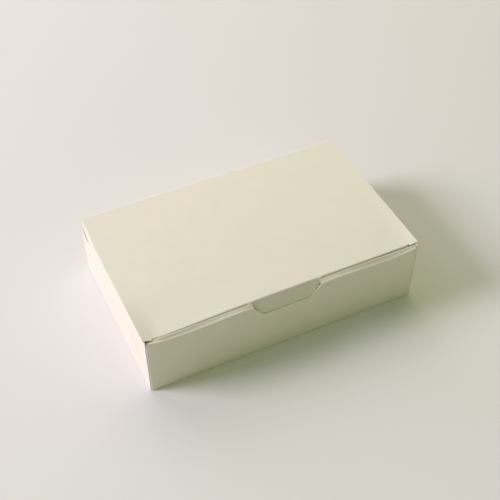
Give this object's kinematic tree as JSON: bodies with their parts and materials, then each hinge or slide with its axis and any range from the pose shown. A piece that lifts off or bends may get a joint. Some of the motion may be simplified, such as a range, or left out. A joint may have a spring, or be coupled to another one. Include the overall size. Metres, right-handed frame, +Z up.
{
  "type": "folding box",
  "caption": "Shallow one-piece folding box of paperboard with a hinged lid, a tuck flap, a rolled double front wall and a thumb notch.",
  "frame": {"origin": "middle of the closed box's underside", "axes": "+X along the front to the right, -Y out of the front with the thumb notch, +Z up"},
  "size_m": [0.16, 0.101, 0.04],
  "materials": {
    "lid_board": "matt",
    "wall_board": "matt",
    "rim_board": "matt",
    "inner_board": "matt"
  },
  "bodies": {
    "tray": {"base_panel": "inner_board", "front_outer_wall": "wall_board", "front_rim_left": "rim_board", "front_rim_right": "rim_board", "front_inner_wall": "inner_board", "front_left_corner_flap": "inner_board", "front_right_corner_flap": "inner_board"},
    "left_side": {"left_wall": "wall_board"},
    "right_side": {"right_wall": "wall_board"},
    "back": {"back_wall": "wall_board", "back_left_corner_flap": "inner_board", "back_right_corner_flap": "inner_board"},
    "lid": {"lid_panel": "lid_board"},
    "tuck": {"tuck_flap": "lid_board"}
  },
  "joints": [
    {"name": "back_fold", "type": "hinge", "parent": "tray", "child": "back", "pos_m": [0, 0.05025, 0.00025], "axis": [-1, 0, 0], "range_deg": [0, 90]},
    {"name": "lid_hinge", "type": "hinge", "parent": "back", "child": "lid", "pos_m": [0, 0.05025, 0.03975], "axis": [-1, 0, 0], "range_deg": [0, 180]},
    {"name": "tuck_fold", "type": "hinge", "parent": "lid", "child": "tuck", "pos_m": [0, -0.04715, 0.03935], "axis": [1, 0, 0], "range_deg": [0, 80]},
    {"name": "left_fold", "type": "hinge", "parent": "tray", "child": "left_side", "pos_m": [-0.07975, 0, 0.00025], "axis": [0, -1, 0], "range_deg": [0, 90]},
    {"name": "right_fold", "type": "hinge", "parent": "tray", "child": "right_side", "pos_m": [0.07975, 0, 0.00025], "axis": [0, 1, 0], "range_deg": [0, 90]}
  ]
}
